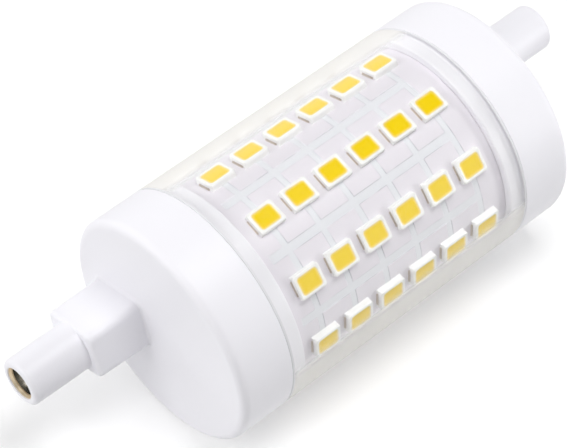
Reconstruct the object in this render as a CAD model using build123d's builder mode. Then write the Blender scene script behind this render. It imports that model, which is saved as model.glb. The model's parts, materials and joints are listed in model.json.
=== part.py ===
"""Double-ended linear LED bulb: a clear tube round a rolled LED board, plugged into two moulded caps.

Millimetres and degrees. The tube's axis is X and the origin is its middle. The bulb lies on its side, Z up.
The necks and posts stand off the axis towards one side, which the lie angle turns about X.
"""

import os
from math import cos, radians, sin, sqrt

from build123d import *

# Lengths along the axis, from the middle out
WINDOW_LENGTH = 35.0  # clear tube between the two cap rims
CAP_LENGTH = 6.9  # rim to flat end
NECK_LENGTH = 7.0
POST_LENGTH = 7.6

# Body
BODY_DIAMETER = 28.0  # tube and caps are flush
TUBE_WALL = 0.6
COLLAR_LENGTH = 2.1  # how far a cap's collar reaches into the tube
CAP_EDGE_RADIUS = 1.6  # of the flat end, drawn as two bevels that keep the facets few
CAP_END_WALL = 1.5
LIE_ANGLE = -17.0  # side that the posts stand off to, from +Y towards +Z

# Neck and post
POST_OFFSET = 6.2  # post axis from tube axis
POST_DIAMETER = 5.8
POST_TIP_CHAMFER = 0.4
POST_FOOT_LENGTH = 0.4  # flared stretch in front of the neck
POST_FOOT_DRAFT = 3.5
NECK_WIDTH = 7.8  # along the offset
NECK_HEIGHT = 6.1
NECK_EDGE_RADIUS = 0.9
NECK_FRONT_CHAMFER = 0.5

# Contact in the post's tip
RECESS_DIAMETER = 4.0
CONTACT_DEPTH = 1.55  # tip of the post to the crown of the pin
SLEEVE_WALL = 0.2
SLEEVE_SETBACK = 0.15  # lip of the sleeve below the tip
PIN_HEAD_DIAMETER = 2.2
PIN_HEAD_HEIGHT = 0.7
PIN_HEAD_CHAMFER = 0.4
PIN_DIAMETER = 1.5
PIN_SOLDER_LENGTH = 4.0  # end of the pin that lies on the driver board

# Rolled LED board
BOARD_THICKNESS = 0.35
BOARD_SEAM = 0.5  # gap where its long edges meet
SEAM_AFTER_ROW = 9

# LED packages
LED_ROWS = 10
LEDS_PER_ROW = 6
LED_PITCH = 4.75
ROW_PHASE = 14.0  # first row, from the offset side
LED_LENGTH = 3.5  # along the tube
LED_WIDTH = 2.8
LED_HEIGHT = 0.7
LED_AIR = 0.18  # upper corners of a package to the tube
CUP_LENGTH = 2.7
CUP_WIDTH = 2.1
CUP_DEPTH = 0.3
TERMINAL_HEIGHT = 0.2
TERMINAL_WIDTH = 2.2
TERMINAL_LENGTH = 1.0
TERMINAL_PROUD = 0.1  # part of a terminal past the package

# Driver board and the rails that hold its ends
DRIVER_THICKNESS = 1.0
DRIVER_SIDE_GAP = 2.4  # its long edges to the LED board
RAIL_LENGTH = 9.0
RAIL_DEPTH = 2.0
RAIL_THICKNESS = 1.0

# Parts on the driver board: those in the tall row stand beside the line of the pins
TALL_ROW_OFFSET = -3.0  # middle of the tall row, along the offset
PART_SPACING = 1.0
INPUT_CAPACITOR_LENGTH = 10.0
INPUT_CAPACITOR_WIDTH = 4.5
INPUT_CAPACITOR_HEIGHT = 6.5
CAPACITOR_DIAMETER = 8.0
CAPACITOR_LENGTH = 12.0
CAPACITOR_CHAMFER = 0.5
CHOKE_SIDE = 6.5
CHOKE_HEIGHT = 6.0
CHOKE_FLANGE = 1.0
CHOKE_CORE_SIDE = 2.6
WINDING_SIDE = 5.6
FUSE_DIAMETER = 2.8
FUSE_LENGTH = 7.0
FEED_SIDE = 0.7
FEED_SPACING = 4.0
RECTIFIER_LENGTH = 4.7
RECTIFIER_WIDTH = 3.9
RECTIFIER_HEIGHT = 2.4
CHIP_LENGTH = 4.9
CHIP_WIDTH = 3.9
CHIP_HEIGHT = 1.5
RESISTOR_COUNT = 3
RESISTOR_PITCH = 2.6
RESISTOR_LENGTH = 3.2
RESISTOR_WIDTH = 1.6
RESISTOR_HEIGHT = 0.6

# Clearances
FIT = 0.05  # between pieces that slide together
SEAT = 0.02  # under pieces that are soldered, pressed or glued

# Stations along the axis
rim_x = WINDOW_LENGTH / 2
end_x = rim_x + CAP_LENGTH
neck_x = end_x + NECK_LENGTH
tip_x = neck_x + POST_LENGTH
collar_x = rim_x - COLLAR_LENGTH
inner_end_x = end_x - CAP_END_WALL
board_end_x = inner_end_x - FIT
pin_end_x = inner_end_x - PIN_SOLDER_LENGTH
crown_x = tip_x - CONTACT_DEPTH
recess_x = crown_x - PIN_HEAD_HEIGHT - SEAT
foot_x = neck_x + POST_FOOT_LENGTH

# Radii about the axis, from the outside in
body_radius = BODY_DIAMETER / 2
tube_bore_radius = body_radius - TUBE_WALL
collar_radius = tube_bore_radius - FIT
led_top_radius = sqrt((tube_bore_radius - LED_AIR) ** 2 - (LED_WIDTH / 2) ** 2)
board_radius = led_top_radius - LED_HEIGHT - SEAT
board_bore_radius = board_radius - BOARD_THICKNESS
cap_bore_radius = board_radius + FIT

# Radii about a post's own axis
post_radius = POST_DIAMETER / 2
pin_radius = PIN_DIAMETER / 2
pin_hole_radius = pin_radius + SEAT
recess_radius = RECESS_DIAMETER / 2
sleeve_radius = recess_radius - SEAT

# Levels square to the offset, from the tube's axis: the pins lie on the driver board
driver_top = -pin_radius - SEAT
driver_bottom = driver_top - DRIVER_THICKNESS

# Directions across the tube: along the offset, and square to it
offset_dir = Vector(0, cos(radians(LIE_ANGLE)), sin(radians(LIE_ANGLE)))
level_dir = Vector(0, -sin(radians(LIE_ANGLE)), cos(radians(LIE_ANGLE)))

os.makedirs("parts", exist_ok=True)


def section_plane(x, aside=0.0, level=0.0):
    """Plane across the tube at x, moved aside along the offset and up a level square to it."""
    return Plane(
        origin=Vector(x, 0, 0) + offset_dir * aside + level_dir * level,
        x_dir=offset_dir,
        z_dir=(1, 0, 0),
    )


def shelf_plane(level, facing):
    """Plane along the tube at a level, with its own x along X, facing up (1) or down (-1) the levels."""
    return Plane(origin=level_dir * level, x_dir=(1, 0, 0), z_dir=level_dir * facing)


def row_plane(row, height):
    """Plane along one row of LEDs at a height above the board, with its own x along X, facing out."""
    turn = radians(LIE_ANGLE + ROW_PHASE + row * 360 / LED_ROWS)
    out = Vector(0, cos(turn), sin(turn))
    return Plane(origin=out * (board_radius + height), x_dir=(1, 0, 0), z_dir=out)


def save(part, name):
    """Label a finished piece and write it."""
    part.label = name
    export_step(part, f"parts/{name}.step")


def save_pair(part, name):
    """Write a right-hand piece and its mirror image at the left end."""
    save(part, f"{name}_right")
    with BuildPart() as left:
        mirror(part, about=Plane.YZ)
    save(left.part, f"{name}_left")


# End caps: a cup with a collar for the tube, with the neck, the post and the driver's rails in one moulding
rail_level = (driver_top + driver_bottom) / 2
rail_pitch = DRIVER_THICKNESS + 2 * FIT + RAIL_THICKNESS
root_x = end_x - CAP_END_WALL / 2
edge_inset = CAP_EDGE_RADIUS * (1 - sqrt(0.5))
with BuildPart() as end_cap:
    with BuildSketch(Plane.XY):
        with BuildLine():
            Polyline(
                (collar_x, cap_bore_radius),
                (collar_x, collar_radius),
                (rim_x, collar_radius),
                (rim_x, body_radius),
                (end_x - CAP_EDGE_RADIUS, body_radius),
                (end_x - edge_inset, body_radius - edge_inset),
                (end_x, body_radius - CAP_EDGE_RADIUS),
                (end_x, 0),
                (inner_end_x, 0),
                (inner_end_x, cap_bore_radius),
                close=True,
            )
        make_face()
    revolve(axis=Axis.X)
    with BuildSketch(section_plane(root_x, POST_OFFSET)):
        RectangleRounded(NECK_WIDTH, NECK_HEIGHT, NECK_EDGE_RADIUS)
    extrude(amount=neck_x - root_x)
    chamfer(end_cap.faces().sort_by(Axis.X)[-1].edges(), NECK_FRONT_CHAMFER)
    with BuildSketch(section_plane(foot_x, POST_OFFSET)):
        Circle(post_radius)
    extrude(amount=-POST_FOOT_LENGTH - NECK_FRONT_CHAMFER, taper=-POST_FOOT_DRAFT)
    with BuildSketch(section_plane(foot_x, POST_OFFSET)):
        Circle(post_radius)
    extrude(amount=tip_x - foot_x)
    chamfer(end_cap.faces().sort_by(Axis.X)[-1].edges(), POST_TIP_CHAMFER)
    with Locations(section_plane(tip_x, POST_OFFSET)):
        CounterBoreHole(
            radius=pin_hole_radius,
            counter_bore_radius=recess_radius,
            counter_bore_depth=tip_x - recess_x,
            depth=tip_x - pin_end_x,
        )
    with BuildSketch(section_plane(inner_end_x, -RAIL_LENGTH / 2, rail_level)):
        with GridLocations(1, rail_pitch, 1, 2):
            Rectangle(RAIL_LENGTH, RAIL_THICKNESS)
    extrude(amount=-RAIL_DEPTH)
save_pair(end_cap.part, "end_cap")

# Contact sleeves: a thin ring that lines the recess in each post's tip
with BuildPart() as contact_sleeve:
    with BuildSketch(section_plane(recess_x + SEAT, POST_OFFSET)):
        Circle(sleeve_radius)
        Circle(sleeve_radius - SLEEVE_WALL, mode=Mode.SUBTRACT)
    extrude(amount=tip_x - SLEEVE_SETBACK - recess_x - SEAT)
save_pair(contact_sleeve.part, "contact_sleeve")

# Contact pins: a head on the floor of the recess, and a shank that runs through to the driver board
with BuildPart() as contact_pin:
    with BuildSketch(section_plane(pin_end_x, POST_OFFSET)):
        Circle(pin_radius)
    extrude(amount=crown_x - pin_end_x)
    with BuildSketch(section_plane(recess_x + SEAT, POST_OFFSET)):
        Circle(PIN_HEAD_DIAMETER / 2)
    extrude(amount=PIN_HEAD_HEIGHT)
    chamfer(contact_pin.faces().sort_by(Axis.X)[-1].edges(), PIN_HEAD_CHAMFER)
save_pair(contact_pin.part, "contact_pin")

# Clear tube between the cap rims
with BuildPart() as clear_tube:
    with BuildSketch(section_plane(-rim_x + FIT)):
        Circle(body_radius)
        Circle(tube_bore_radius, mode=Mode.SUBTRACT)
    extrude(amount=WINDOW_LENGTH - 2 * FIT)
save(clear_tube.part, "clear_tube")

# LED board: a sheet rolled into a cylinder, with its seam halfway between two rows
seam_angle = ROW_PHASE + (SEAM_AFTER_ROW - 0.5) * 360 / LED_ROWS
with BuildPart() as led_board:
    with BuildSketch(section_plane(-board_end_x)):
        Circle(board_radius)
        Circle(board_bore_radius, mode=Mode.SUBTRACT)
        with PolarLocations(board_radius, 1, start_angle=seam_angle):
            Rectangle(4 * BOARD_THICKNESS, BOARD_SEAM, mode=Mode.SUBTRACT)
    extrude(amount=2 * board_end_x)
save(led_board.part, "led_board")

# LED packages, row by row: a housing on two terminals, with phosphor in the cup in its top
terminal_pitch = LED_LENGTH + 2 * TERMINAL_PROUD - TERMINAL_LENGTH
housing_floor = TERMINAL_HEIGHT + 2 * SEAT
led_top = SEAT + LED_HEIGHT
cup_floor = led_top - CUP_DEPTH
for row in range(LED_ROWS):
    with BuildPart() as terminals:
        with BuildSketch(row_plane(row, SEAT)):
            with GridLocations(LED_PITCH, 1, LEDS_PER_ROW, 1):
                with GridLocations(terminal_pitch, 1, 2, 1):
                    Rectangle(TERMINAL_LENGTH, TERMINAL_WIDTH)
        extrude(amount=TERMINAL_HEIGHT)
    save(terminals.part, f"led_terminals_row_{row + 1:02d}")

    with BuildPart() as housings:
        with BuildSketch(row_plane(row, housing_floor)):
            with GridLocations(LED_PITCH, 1, LEDS_PER_ROW, 1):
                Rectangle(LED_LENGTH, LED_WIDTH)
        extrude(amount=led_top - housing_floor)
        with BuildSketch(row_plane(row, cup_floor)):
            with GridLocations(LED_PITCH, 1, LEDS_PER_ROW, 1):
                Rectangle(CUP_LENGTH, CUP_WIDTH)
        extrude(amount=CUP_DEPTH, mode=Mode.SUBTRACT)
    save(housings.part, f"led_housings_row_{row + 1:02d}")

    with BuildPart() as phosphor:
        with BuildSketch(row_plane(row, cup_floor + SEAT)):
            with GridLocations(LED_PITCH, 1, LEDS_PER_ROW, 1):
                Rectangle(CUP_LENGTH - 2 * SEAT, CUP_WIDTH - 2 * SEAT)
        extrude(amount=CUP_DEPTH - 2 * SEAT)
    save(phosphor.part, f"led_phosphor_row_{row + 1:02d}")

# Driver board, with its ends in the rails of both caps
driver_half_width = sqrt((board_bore_radius - DRIVER_SIDE_GAP) ** 2 - driver_bottom**2)
with BuildPart() as driver_board:
    with BuildSketch(shelf_plane(driver_bottom, 1)):
        Rectangle(2 * board_end_x, 2 * driver_half_width)
    extrude(amount=DRIVER_THICKNESS)
save(driver_board.part, "driver_board")

# Tall parts on its upper side, one behind the other along the tube
part_level = driver_top + SEAT
tall_row_length = INPUT_CAPACITOR_LENGTH + CAPACITOR_LENGTH + CHOKE_SIDE + 2 * PART_SPACING
tall_row_x = -tall_row_length / 2
with BuildPart() as input_capacitor:
    with BuildSketch(shelf_plane(part_level, 1)):
        with Locations((tall_row_x + INPUT_CAPACITOR_LENGTH / 2, TALL_ROW_OFFSET)):
            Rectangle(INPUT_CAPACITOR_LENGTH, INPUT_CAPACITOR_WIDTH)
    extrude(amount=INPUT_CAPACITOR_HEIGHT)
save(input_capacitor.part, "input_capacitor")

capacitor_x = tall_row_x + INPUT_CAPACITOR_LENGTH + PART_SPACING
with BuildPart() as smoothing_capacitor:
    with BuildSketch(section_plane(capacitor_x, TALL_ROW_OFFSET, part_level + CAPACITOR_DIAMETER / 2)):
        Circle(CAPACITOR_DIAMETER / 2)
    extrude(amount=CAPACITOR_LENGTH)
    chamfer(smoothing_capacitor.faces().sort_by(Axis.X)[-1].edges(), CAPACITOR_CHAMFER)
save(smoothing_capacitor.part, "smoothing_capacitor")

choke_at = (-tall_row_x - CHOKE_SIDE / 2, TALL_ROW_OFFSET)
with BuildPart() as choke_core:
    for level in (part_level, part_level + CHOKE_HEIGHT - CHOKE_FLANGE):
        with BuildSketch(shelf_plane(level, 1)):
            with Locations(choke_at):
                Rectangle(CHOKE_SIDE, CHOKE_SIDE)
        extrude(amount=CHOKE_FLANGE)
    with BuildSketch(shelf_plane(part_level, 1)):
        with Locations(choke_at):
            Rectangle(CHOKE_CORE_SIDE, CHOKE_CORE_SIDE)
    extrude(amount=CHOKE_HEIGHT)
save(choke_core.part, "choke_core")

with BuildPart() as choke_winding:
    with BuildSketch(shelf_plane(part_level + CHOKE_FLANGE + SEAT, 1)):
        with Locations(choke_at):
            Rectangle(WINDING_SIDE, WINDING_SIDE)
            Rectangle(CHOKE_CORE_SIDE + 2 * SEAT, CHOKE_CORE_SIDE + 2 * SEAT, mode=Mode.SUBTRACT)
    extrude(amount=CHOKE_HEIGHT - 2 * CHOKE_FLANGE - 2 * SEAT)
save(choke_winding.part, "choke_winding")

# Parts in line with the contact pins: the fuse resistor at the left, the feed pins at the right
fuse_x = -pin_end_x + PART_SPACING
with BuildPart() as fuse_resistor:
    with BuildSketch(section_plane(fuse_x, POST_OFFSET, part_level + FUSE_DIAMETER / 2)):
        Circle(FUSE_DIAMETER / 2)
    extrude(amount=FUSE_LENGTH)
save(fuse_resistor.part, "fuse_resistor")

feed_top = sqrt(board_bore_radius**2 - (POST_OFFSET + FEED_SIDE / 2) ** 2) - SEAT
feed_x = pin_end_x - PART_SPACING - (FEED_SPACING + FEED_SIDE) / 2
with BuildPart() as feed_pins:
    with BuildSketch(shelf_plane(part_level, 1)):
        with Locations((feed_x, POST_OFFSET)):
            with GridLocations(FEED_SPACING, 1, 2, 1):
                Rectangle(FEED_SIDE, FEED_SIDE)
    extrude(amount=feed_top - part_level)
save(feed_pins.part, "feed_pins")

# Flat parts on its lower side
low_level = driver_bottom - SEAT
low_row_length = RECTIFIER_LENGTH + CHIP_LENGTH + RESISTOR_LENGTH + 2 * PART_SPACING
low_row_x = -low_row_length / 2
with BuildPart() as bridge_rectifier:
    with BuildSketch(shelf_plane(low_level, -1)):
        with Locations((low_row_x + RECTIFIER_LENGTH / 2, 0)):
            Rectangle(RECTIFIER_LENGTH, RECTIFIER_WIDTH)
    extrude(amount=RECTIFIER_HEIGHT)
save(bridge_rectifier.part, "bridge_rectifier")

with BuildPart() as driver_chip:
    with BuildSketch(shelf_plane(low_level, -1)):
        with Locations((low_row_x + RECTIFIER_LENGTH + PART_SPACING + CHIP_LENGTH / 2, 0)):
            Rectangle(CHIP_LENGTH, CHIP_WIDTH)
    extrude(amount=CHIP_HEIGHT)
save(driver_chip.part, "driver_chip")

with BuildPart() as sense_resistors:
    with BuildSketch(shelf_plane(low_level, -1)):
        with Locations((-low_row_x - RESISTOR_LENGTH / 2, 0)):
            with GridLocations(1, RESISTOR_PITCH, 1, RESISTOR_COUNT):
                Rectangle(RESISTOR_LENGTH, RESISTOR_WIDTH)
    extrude(amount=RESISTOR_HEIGHT)
save(sense_resistors.part, "sense_resistors")
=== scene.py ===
"""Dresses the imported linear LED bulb: caps, contacts, clear tube, rolled LED board, LED packages and studio.

Sizes in the classes are millimetres. Meshes are metres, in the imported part's frame: X runs along the tube.
"""

from __future__ import annotations

import json
import logging
import math
from collections.abc import Callable, Sequence
from dataclasses import dataclass, field
from enum import Enum

import bmesh
import bpy
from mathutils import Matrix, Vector

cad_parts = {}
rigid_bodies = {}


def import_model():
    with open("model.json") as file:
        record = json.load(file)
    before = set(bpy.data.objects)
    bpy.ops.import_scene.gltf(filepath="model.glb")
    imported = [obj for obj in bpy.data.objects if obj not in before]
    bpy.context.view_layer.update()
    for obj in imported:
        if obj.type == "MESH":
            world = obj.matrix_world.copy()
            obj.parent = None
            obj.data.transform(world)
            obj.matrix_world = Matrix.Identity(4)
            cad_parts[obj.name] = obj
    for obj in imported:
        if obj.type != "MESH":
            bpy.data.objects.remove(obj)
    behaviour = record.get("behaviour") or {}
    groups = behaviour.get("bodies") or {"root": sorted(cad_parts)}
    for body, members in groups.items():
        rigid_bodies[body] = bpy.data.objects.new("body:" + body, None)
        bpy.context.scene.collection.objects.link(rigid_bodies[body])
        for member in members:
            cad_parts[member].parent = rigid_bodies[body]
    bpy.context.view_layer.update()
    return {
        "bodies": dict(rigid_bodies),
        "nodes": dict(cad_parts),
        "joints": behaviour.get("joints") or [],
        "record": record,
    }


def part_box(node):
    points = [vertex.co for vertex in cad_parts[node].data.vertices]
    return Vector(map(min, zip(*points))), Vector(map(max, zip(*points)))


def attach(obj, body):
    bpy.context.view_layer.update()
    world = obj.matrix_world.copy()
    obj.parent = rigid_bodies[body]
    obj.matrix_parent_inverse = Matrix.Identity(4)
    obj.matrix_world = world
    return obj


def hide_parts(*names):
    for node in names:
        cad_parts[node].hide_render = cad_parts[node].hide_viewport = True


MM = 0.001
MERGE = 0.0005
BODY = "root"
ROWS = 10
LOG = logging.getLogger("bulb")

BMesh = bmesh.types.BMesh
Material = bpy.types.Material
Mesh = bpy.types.Mesh
Node = bpy.types.Node
Piece = bpy.types.Object
Socket = bpy.types.NodeSocket
Tree = bpy.types.NodeTree
Colour = tuple[float, float, float, float]
Reach = Callable[[float], float] | float
Profile = list[tuple[float, Reach]]
Ring = list[Vector]
Loop = list[bmesh.types.BMVert]
Stops = Sequence[tuple[float, str]]


class Side(Enum):
    """The two ends of the bulb, by the sign of X."""

    LEFT = -1
    RIGHT = 1


class Row(Enum):
    """Kinds of piece that an LED package is made of, by the stem of their nodes' names."""

    HOUSING = "led_housings"
    PHOSPHOR = "led_phosphor"
    TERMINAL = "led_terminals"


def linear(hex_colour: str) -> Colour:
    """Turn an sRGB hex colour into linear RGBA.

    Args:
        hex_colour: Six hex digits after a hash.

    Returns:
        Linear red, green and blue, with full alpha.
    """
    parts = [int(hex_colour[i : i + 2], 16) / 255 for i in (1, 3, 5)]
    red, green, blue = [c / 12.92 if c <= 0.04045 else ((c + 0.055) / 1.055) ** 2.4 for c in parts]
    return red, green, blue, 1.0


def wire(made: Node, inputs: dict) -> Node:
    """Give a node's inputs their values and links.

    Args:
        made: The node.
        inputs: Values, output sockets, or nodes for their first output, by the input's name or number.

    Returns:
        The same node.
    """
    for name, value in inputs.items():
        source = value.outputs[0] if isinstance(value, Node) else value
        if isinstance(source, Socket):
            made.id_data.links.new(source, made.inputs[name])
        else:
            made.inputs[name].default_value = source
    return made


def node(tree: Tree, kind: str, inputs: dict | None = None, stops: Stops = (), **settings: object) -> Node:
    """Add a node with its settings, values and links.

    Args:
        tree: Tree that gets the node.
        kind: Blender's name for the node.
        inputs: Values and links, as wire takes them.
        stops: Places and sRGB hex colours of a ramp, in order, from 0 to 1.
        settings: Attributes of the node.

    Returns:
        The new node.
    """
    made = tree.nodes.new(kind)
    for name, value in settings.items():
        setattr(made, name, value)
    for place, _ in stops[1:-1]:
        made.color_ramp.elements.new(place)
    for number, (_, colour) in enumerate(stops):
        made.color_ramp.elements[number].color = linear(colour)
    return wire(made, inputs or {})


def per_mm(size: float) -> float:
    """Texture scale at which a pattern on Object coordinates repeats about every size millimetres."""
    return 1 / (size * MM)


def quarter(
    start: tuple[float, float], end: tuple[float, float], steps: int, x_first: bool
) -> list[tuple[float, float]]:
    """Round a corner of a profile by a quarter of an ellipse.

    Args:
        start: Station and radius at which the rounding starts.
        end: Station and radius at which it ends.
        steps: Number of its steps.
        x_first: Whether it leaves its start along the stations, and not along the radii.

    Returns:
        The points, both ends included.
    """
    made = []
    for i in range(steps + 1):
        turn = i / steps * math.pi / 2
        early, late = math.sin(turn), 1 - math.cos(turn)
        x_share, radius_share = (early, late) if x_first else (late, early)
        x = start[0] + (end[0] - start[0]) * x_share
        made.append((x, start[1] + (end[1] - start[1]) * radius_share))
    return made


def rounded_box(half_width: float, half_height: float, corner: float, turn: float) -> float:
    """Distance from the middle of a rounded rectangle to its outline.

    Args:
        half_width: Half of its size along the first axis.
        half_height: Half of its size along the second axis.
        corner: Radius of its corners.
        turn: Direction from the first axis, in radians.

    Returns:
        The distance, in the unit of the sizes.
    """
    across, up = abs(math.cos(turn)), abs(math.sin(turn))
    if across * (half_height - corner) >= up * half_width:
        return half_width / across
    if up * (half_width - corner) >= across * half_height:
        return half_height / up
    along = across * (half_width - corner) + up * (half_height - corner)
    beyond = (half_width - corner) ** 2 + (half_height - corner) ** 2 - corner**2
    return along + math.sqrt(max(along**2 - beyond, 0.0))


def lay(made: BMesh, ring: Ring) -> Loop:
    """Add the points of a ring to a mesh under construction, from millimetres to metres."""
    return [made.verts.new(point * MM) for point in ring]


def bridge(made: BMesh, near: Loop, far: Loop, band: int = 0) -> None:
    """Join two loops of vertices by a band of faces.

    Args:
        made: Mesh under construction.
        near: First loop.
        far: Second loop, as long as the first.
        band: Material index of the faces.
    """
    for i in range(len(near)):
        made.faces.new((near[i], near[i - 1], far[i - 1], far[i])).material_index = band


def seal(made: BMesh, sharp_degrees: float = 40.0) -> Mesh:
    """Turn the faces of a closed mesh outwards and shade it smooth, with its sharp edges kept crisp.

    Args:
        made: Mesh under construction, which is freed.
        sharp_degrees: Least angle of a crisp edge.

    Returns:
        The finished mesh.
    """
    bmesh.ops.recalc_face_normals(made, faces=made.faces)
    mesh = bpy.data.meshes.new("sealed")
    made.to_mesh(mesh)
    made.free()
    mesh.shade_smooth()
    mesh.set_sharp_from_angle(angle=math.radians(sharp_degrees))
    return mesh


def loft(
    rings: Sequence[Ring], closed: bool, bands: Sequence[int] | None = None, sharp_degrees: float = 40.0
) -> Mesh:
    """Skin a row of rings that have the same number of points.

    Args:
        rings: Rings in order along the skin.
        closed: Whether the last ring joins the first. Otherwise both ends are filled.
        bands: Material index of the band that starts at each ring.
        sharp_degrees: Least angle of a crisp edge.

    Returns:
        A closed mesh in metres.
    """
    made = bmesh.new()
    loops = [lay(made, ring) for ring in rings]
    onward = loops[1:] + loops[:1] if closed else loops[1:]
    for number, (near, far) in enumerate(zip(loops, onward)):
        bridge(made, near, far, bands[number] if bands else 0)
    if not closed:
        made.faces.new(loops[0])
        made.faces.new(loops[-1])
    bmesh.ops.remove_doubles(made, verts=made.verts, dist=MERGE * MM)
    return seal(made, sharp_degrees)


def add_piece(name: str, mesh: Mesh, materials: Sequence[Material], nodes: Sequence[str]) -> Piece:
    """Put a finished mesh into the scene as a piece that rides on the bulb.

    Args:
        name: Name of the piece.
        mesh: Its mesh, in the frame.
        materials: Its materials, by index.
        nodes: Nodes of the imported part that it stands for.

    Returns:
        The new object.
    """
    mesh.name = name
    for material in materials:
        mesh.materials.append(material)
    piece = bpy.data.objects.new(name, mesh)
    bpy.context.scene.collection.objects.link(piece)
    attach(piece, BODY)
    if nodes:
        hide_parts(*nodes)
    LOG.info("%s: %d faces", name, len(mesh.polygons))
    return piece


def row_nodes(kind: Row) -> list[str]:
    """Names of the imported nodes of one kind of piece, row by row."""
    return [f"{kind.value}_row_{row:02d}" for row in range(1, ROWS + 1)]


@dataclass(frozen=True)
class Finish:
    """A finish: a Principled material with the pattern that its making leaves.

    Attributes:
        name: Common name of the material and how its surface was made.
        colour: Base colour as sRGB hex.
        roughness: Microscopic roughness, from 0 to 1.
        ior: Index of refraction.
        metallic: 1 for a metal.
    """

    name: str
    colour: str
    roughness: float
    ior: float = 1.5
    metallic: float = 0.0

    def material(self) -> Material:
        """Build the material, with the pattern that the kind of finish adds.

        Returns:
            The new material.
        """
        made = bpy.data.materials.new(self.name)
        made.use_nodes = True
        tree = made.node_tree
        tree.nodes.clear()
        values = {"Base Color": linear(self.colour), "Roughness": self.roughness, "Metallic": self.metallic}
        shader = node(tree, "ShaderNodeBsdfPrincipled", values | {"IOR": self.ior})
        self.pattern(tree, shader, node(tree, "ShaderNodeTexCoord").outputs["Object"])
        node(tree, "ShaderNodeOutputMaterial", {"Surface": self.surface(tree, shader)})
        return made

    def pattern(self, tree: Tree, shader: Node, place: Socket) -> None:
        """Add the pattern of the finish to its shader: a plain finish has none."""

    def surface(self, tree: Tree, shader: Node) -> Node:
        """Give the shader that the material's output shows."""
        return shader


@dataclass(frozen=True)
class MouldedFinish(Finish):
    """Plastic or resin from a spark-eroded mould: a fine even grain, a little uneven in gloss.

    Attributes:
        grain: Size of the mould's grain, coarser than real so that it shows.
        relief: Height of the grain.
        patchiness: How far the gloss wanders.
        patch: Size of the patches of gloss.
        patch_detail: Octaves of finer patches in them.
    """

    grain: float = 0.22
    relief: float = 0.004
    patchiness: float = 0.06
    patch: float = 6.0
    patch_detail: float = 3.0

    def pattern(self, tree: Tree, shader: Node, place: Socket) -> None:
        """Add the grain as bump and the patches as roughness.

        Args:
            tree: The material's tree.
            shader: Its Principled node.
            place: Object coordinates, in metres.
        """
        grain = node(tree, "ShaderNodeTexNoise", {"Vector": place, "Scale": per_mm(self.grain)})
        bump = node(tree, "ShaderNodeBump", {"Height": grain, "Distance": self.relief * MM})
        patches = {"Vector": place, "Scale": per_mm(self.patch), "Detail": self.patch_detail}
        patch = node(tree, "ShaderNodeTexNoise", patches)
        gloss = {"Value": patch, 3: self.roughness - self.patchiness, 4: self.roughness + self.patchiness}
        wire(shader, {"Normal": bump, "Roughness": node(tree, "ShaderNodeMapRange", gloss)})


@dataclass(frozen=True)
class ClearFinish(Finish):
    """Clear extruded plastic: it bends what is behind it, and lets the lamps through to it.

    Attributes:
        smear: Size of the faint smears of handling in its gloss.
        smear_from: Level of their pattern at which they begin.
        smear_full: Level at which they are full.
        haze: Roughness of the smears.
        milk_colour: Colour of the milky look that the wall has where it is seen at a slant.
        edge_milk: Share of that look at the edges of the view.
        milk_from: Slant from which it begins, 1 at the edge of the view.
        milk_full: Slant at which it is full.
    """

    smear: float = 9.0
    smear_from: float = 0.5
    smear_full: float = 0.8
    haze: float = 0.1
    milk_colour: str = "#FBF9F5"
    edge_milk: float = 0.75
    milk_from: float = 0.48
    milk_full: float = 0.62

    def pattern(self, tree: Tree, shader: Node, place: Socket) -> None:
        """Make the shader clear and add the smears.

        Args:
            tree: The material's tree.
            shader: Its Principled node.
            place: Object coordinates, in metres.
        """
        cloud = node(tree, "ShaderNodeTexNoise", {"Vector": place, "Scale": per_mm(self.smear)})
        levels = {"Value": cloud, 1: self.smear_from, 2: self.smear_full, 3: self.roughness, 4: self.haze}
        gloss = node(tree, "ShaderNodeMapRange", levels)
        wire(shader, {"Transmission Weight": 1.0, "Roughness": gloss})

    def surface(self, tree: Tree, shader: Node) -> Node:
        """Add the milky edge, and let light from the lamps and between matt surfaces straight through.

        Args:
            tree: The material's tree.
            shader: Its Principled node.

        Returns:
            The mixed shader.
        """
        slant = node(tree, "ShaderNodeLayerWeight").outputs["Facing"]
        rise = {"Value": slant, 1: self.milk_from, 2: self.milk_full, 3: 0.0, 4: self.edge_milk}
        milk = node(tree, "ShaderNodeMapRange", rise, interpolation_type="SMOOTHSTEP")
        matt = node(tree, "ShaderNodeBsdfDiffuse", {"Color": linear(self.milk_colour)})
        wall = node(tree, "ShaderNodeMixShader", {0: milk, 1: shader, 2: matt})
        path = node(tree, "ShaderNodeLightPath").outputs
        either = {0: path["Is Shadow Ray"], 1: path["Is Diffuse Ray"]}
        straight = node(tree, "ShaderNodeMath", either, operation="MAXIMUM")
        through = node(tree, "ShaderNodeBsdfTransparent")
        return node(tree, "ShaderNodeMixShader", {0: straight, 1: wall, 2: through})


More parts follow.
